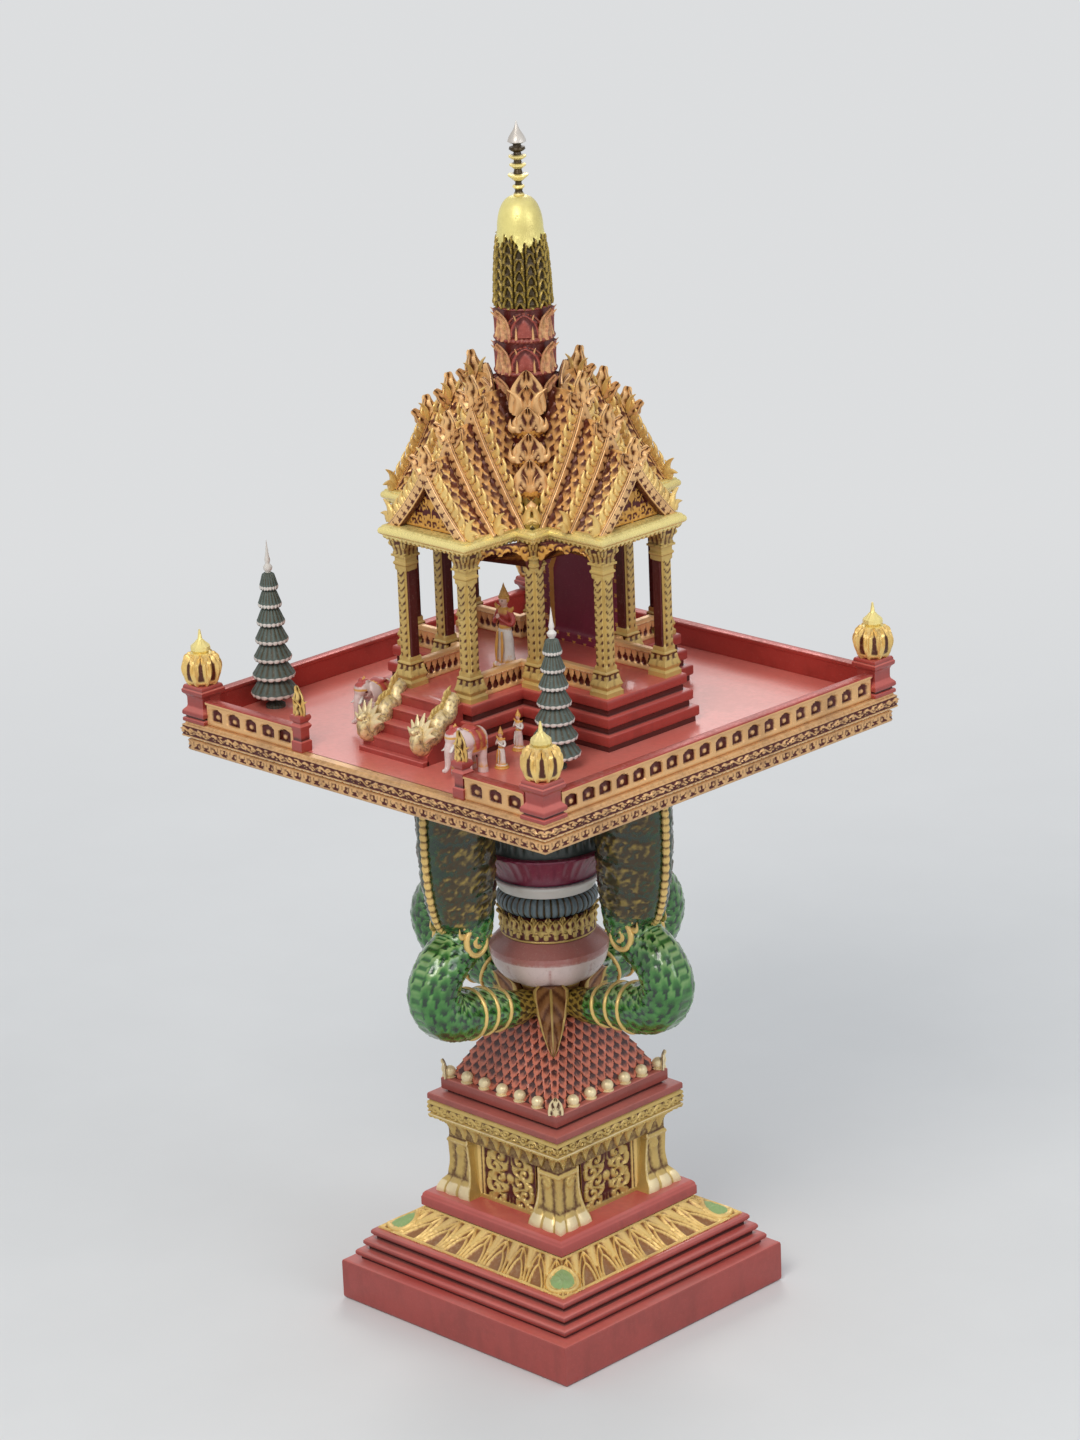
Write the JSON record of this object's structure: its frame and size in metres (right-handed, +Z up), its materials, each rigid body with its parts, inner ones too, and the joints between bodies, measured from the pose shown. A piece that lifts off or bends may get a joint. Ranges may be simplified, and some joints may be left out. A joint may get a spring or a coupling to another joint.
{
  "type": "spirit house on a pedestal",
  "caption": "Gilded spirit house with stepped roofs and a corn-cob tower, on a square railed deck carried by a lotus column and four green serpents over a square plinth",
  "frame": {"origin": "centre of the underside of the bottom slab, on the ground", "axes": "+Z is up along the tower; the front with the stair and the rail opening faces -Y; +X is the right side seen from the front"},
  "size_m": [1.01, 1.01, 2.437],
  "materials": {
    "red_paint": "brick red painted concrete, weathered semi-matte",
    "dark_red": "dark red painted concrete",
    "pink_red": "faded pinkish red paint on concrete",
    "gold": "gold paint over cast ornament, dark in the hollows",
    "pale_gold": "light gold paint, slightly glossy",
    "olive_gold": "worn olive gold paint",
    "maroon": "maroon painted concrete",
    "white_paint": "off-white painted concrete",
    "grey_blue": "grey-blue painted concrete",
    "serpent_green": "glossy green enamel with gold lines",
    "sage_grey": "grey-green painted metal"
  },
  "bodies": {
    "root": {"plinth_slab": "red_paint", "plinth_steps": "red_paint", "lotus_band": "gold", "plinth_ledge": "red_paint", "pedestal_die": "gold", "lion_legs": "gold", "gold_cornice": "gold", "cap_slab": "pink_red", "bead_row": "pale_gold", "scale_pyramid": "dark_red", "neck_leaves": "olive_gold", "lower_bowl": "white_paint", "lotus_ring": "gold", "ribbed_cushion": "grey_blue", "white_ring": "white_paint", "maroon_flare": "maroon", "lotus_capital": "grey_blue", "naga_front": "serpent_green", "naga_right": "serpent_green", "naga_back": "serpent_green", "naga_left": "serpent_green", "deck": "red_paint", "deck_moulding": "gold", "rail_front": "red_paint", "rail_right": "red_paint", "rail_back": "red_paint", "rail_left": "red_paint", "deck_posts": "red_paint", "post_finials": "pale_gold", "stair_flight": "red_paint", "stair_naga_left": "gold", "stair_naga_right": "gold", "house_plinth": "red_paint", "porch_rails": "gold", "house_columns": "gold", "back_wall": "maroon", "eave_slab": "pale_gold", "wing_roofs": "gold", "gable_boards": "pale_gold", "valley_leaves": "gold", "spire_tiers": "dark_red", "prang": "olive_gold", "spire_finial": "white_paint", "parasols": "sage_grey", "deck_figures": "white_paint", "shrine_figure": "white_paint"}
  },
  "joints": []
}
